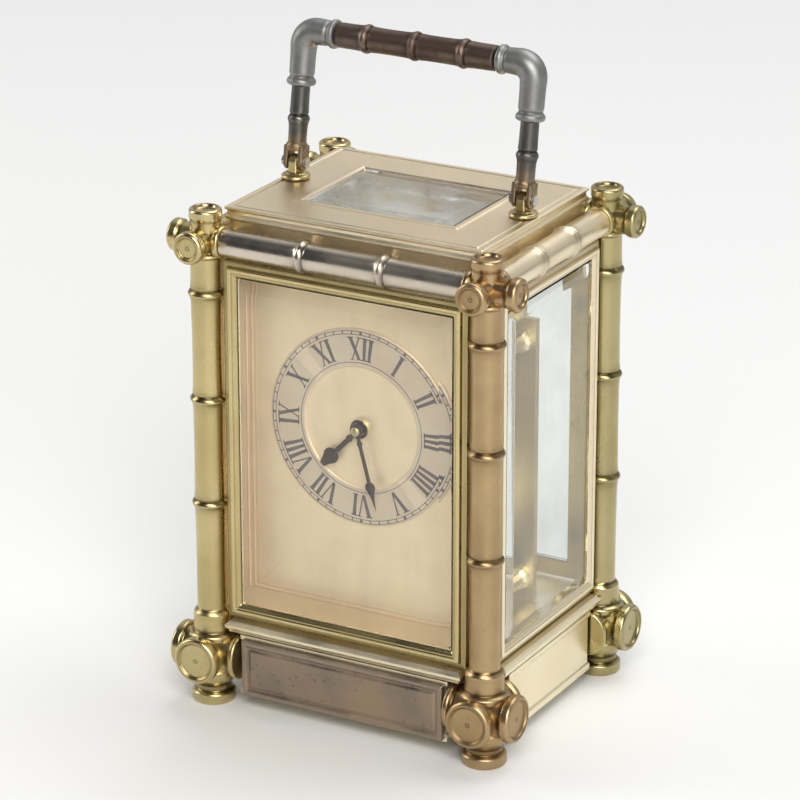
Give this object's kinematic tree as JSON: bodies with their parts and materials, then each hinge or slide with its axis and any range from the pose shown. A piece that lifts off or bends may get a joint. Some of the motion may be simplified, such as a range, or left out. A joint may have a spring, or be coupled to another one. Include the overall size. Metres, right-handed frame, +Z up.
{
  "type": "mantel clock",
  "caption": "Small brass travelling mantel clock with bamboo-shaped pillars, bevelled glass on all sides and the top, a folding bail handle, a hinged rear door and a going movement.",
  "frame": {"origin": "centre of the base on the surface it stands on", "axes": "+Z up, the dial faces -Y, +X to the right of someone facing the dial"},
  "size_m": [0.102, 0.0864, 0.1806],
  "materials": {
    "lacquered_brass": "aged, lacquered, softly polished",
    "dark_bronze": "dark patina, semi-matt",
    "worn_nickel": "worn nickel plate over brass",
    "brown_cane": "brown patina on a cane-shaped bar",
    "frosted_gilt": "matt gilding",
    "silvered_dial": "matt, pale gilt",
    "bright_steel": "polished steel",
    "blued_steel": "dark blued steel",
    "bevelled_glass": "clear, bevelled at the edges"
  },
  "bodies": {
    "case": {"pillar_front_left": "lacquered_brass", "pillar_front_right": "lacquered_brass", "pillar_back_left": "lacquered_brass", "pillar_back_right": "lacquered_brass", "plinth_frame": "lacquered_brass", "plinth_front_panel": "dark_bronze", "floor_plate": "lacquered_brass", "frieze_cane_front": "lacquered_brass", "frieze_cane_back": "lacquered_brass", "frieze_cane_left": "lacquered_brass", "frieze_cane_right": "lacquered_brass", "top_plate": "lacquered_brass", "top_glass": "bevelled_glass", "front_frame": "lacquered_brass", "front_glass": "bevelled_glass", "side_frame_left": "lacquered_brass", "side_frame_right": "lacquered_brass", "side_glass_left": "bevelled_glass", "side_glass_right": "bevelled_glass", "door_hinge_rod": "bright_steel", "handle_post_left": "lacquered_brass", "handle_post_right": "lacquered_brass", "dial_mask": "frosted_gilt", "chapter_ring": "silvered_dial", "movement_front_plate": "lacquered_brass", "movement_back_plate": "lacquered_brass", "movement_post_lower_left": "lacquered_brass", "movement_post_lower_right": "lacquered_brass", "movement_post_upper_left": "lacquered_brass", "movement_post_upper_right": "lacquered_brass", "platform": "frosted_gilt", "balance_cock": "frosted_gilt"},
    "handle": {"handle_leg_left": "worn_nickel", "handle_leg_right": "worn_nickel", "handle_pin_left": "bright_steel", "handle_pin_right": "bright_steel", "handle_elbow_left": "worn_nickel", "handle_elbow_right": "worn_nickel", "handle_grip": "brown_cane"},
    "rear_door": {"rear_door_frame": "lacquered_brass", "rear_door_glass": "bevelled_glass", "door_knob": "lacquered_brass"},
    "minute_hand_group": {"minute_hand": "blued_steel", "cannon_pinion": "lacquered_brass"},
    "hour_hand_group": {"hour_hand": "blued_steel", "hour_wheel": "lacquered_brass"},
    "minute_wheel_group": {"minute_wheel": "lacquered_brass"},
    "setting_arbor_group": {"setting_arbor": "bright_steel"},
    "barrel_group": {"mainspring_barrel": "lacquered_brass", "mainspring": "bright_steel"},
    "winding_group": {"winding_arbor": "bright_steel"},
    "click_group": {"click": "bright_steel"},
    "intermediate_group": {"intermediate_wheel": "lacquered_brass"},
    "centre_group": {"centre_wheel": "lacquered_brass"},
    "third_group": {"third_wheel": "lacquered_brass"},
    "contrate_group": {"contrate_wheel": "lacquered_brass"},
    "escape_group": {"escape_wheel": "lacquered_brass"},
    "lever_group": {"pallet_lever": "bright_steel"},
    "balance_group": {"balance_wheel": "frosted_gilt", "hairspring": "blued_steel"}
  },
  "joints": [
    {"name": "handle_swing", "type": "hinge", "parent": "case", "child": "handle", "pos_m": [0, 0, 0.1424], "axis": [1, 0, 0], "range_deg": [-81, 99]},
    {"name": "rear_door_hinge", "type": "hinge", "parent": "case", "child": "rear_door", "pos_m": [-0.033, 0.03325, 0.075], "axis": [0, 0, 1], "range_deg": [0, 110]},
    {"name": "minute_hand_turn", "type": "hinge", "parent": "case", "child": "minute_hand_group", "pos_m": [0, 0, 0.0822], "axis": [0, 1, 0], "continuous": true},
    {"name": "hour_hand_turn", "type": "hinge", "parent": "case", "child": "hour_hand_group", "pos_m": [0, 0, 0.0822], "axis": [0, 1, 0], "continuous": true},
    {"name": "minute_wheel_turn", "type": "hinge", "parent": "case", "child": "minute_wheel_group", "pos_m": [0.00846, 0, 0.08528], "axis": [0, 1, 0], "continuous": true},
    {"name": "setting_arbor_turn", "type": "hinge", "parent": "case", "child": "setting_arbor_group", "pos_m": [0.01843, 0, 0.08704], "axis": [0, 1, 0], "continuous": true},
    {"name": "contrate_wheel_turn", "type": "hinge", "parent": "case", "child": "contrate_group", "pos_m": [0, 0, 0.09444], "axis": [0, 1, 0], "continuous": true},
    {"name": "third_wheel_turn", "type": "hinge", "parent": "case", "child": "third_group", "pos_m": [-0.0091, 0, 0.08984], "axis": [0, 1, 0], "continuous": true},
    {"name": "centre_wheel_turn", "type": "hinge", "parent": "case", "child": "centre_group", "pos_m": [0, 0, 0.0822], "axis": [0, 1, 0], "continuous": true},
    {"name": "intermediate_wheel_turn", "type": "hinge", "parent": "case", "child": "intermediate_group", "pos_m": [0.00534, 0, 0.06775], "axis": [0, 1, 0], "continuous": true},
    {"name": "barrel_turn", "type": "hinge", "parent": "case", "child": "barrel_group", "pos_m": [0, 0, 0.046], "axis": [0, 1, 0], "continuous": true},
    {"name": "escape_wheel_turn", "type": "hinge", "parent": "case", "child": "escape_group", "pos_m": [0, 0.00825, 0.105], "axis": [0, 0, 1], "continuous": true},
    {"name": "winding_arbor_turn", "type": "hinge", "parent": "case", "child": "winding_group", "pos_m": [0, 0, 0.046], "axis": [0, 1, 0], "continuous": true},
    {"name": "click_lift", "type": "hinge", "parent": "case", "child": "click_group", "pos_m": [0.0105, 0.017, 0.0515], "axis": [0, 1, 0], "range_deg": [0, 15]},
    {"name": "lever_rock", "type": "hinge", "parent": "case", "child": "lever_group", "pos_m": [0, 0.00285, 0.1085], "axis": [0, 0, 1], "range_deg": [-5, 5]},
    {"name": "balance_swing", "type": "hinge", "parent": "case", "child": "balance_group", "pos_m": [0, -0.0062, 0.1115], "axis": [0, 0, 1], "range_deg": [-150, 150], "stiffness_Nm_per_rad": 0.000008}
  ],
  "couplings": [
    {"joint": "hour_hand_turn", "follows": "minute_hand_turn", "ratio": 0.083333},
    {"joint": "minute_wheel_turn", "follows": "minute_hand_turn", "ratio": -0.33333},
    {"joint": "setting_arbor_turn", "follows": "minute_hand_turn", "ratio": 0.66667},
    {"joint": "third_wheel_turn", "follows": "contrate_wheel_turn", "ratio": -0.13333},
    {"joint": "centre_wheel_turn", "follows": "contrate_wheel_turn", "ratio": 0.016667},
    {"joint": "intermediate_wheel_turn", "follows": "contrate_wheel_turn", "ratio": -0.0027778},
    {"joint": "barrel_turn", "follows": "contrate_wheel_turn", "ratio": 0.00046296},
    {"joint": "escape_wheel_turn", "follows": "contrate_wheel_turn", "ratio": 6}
  ]
}
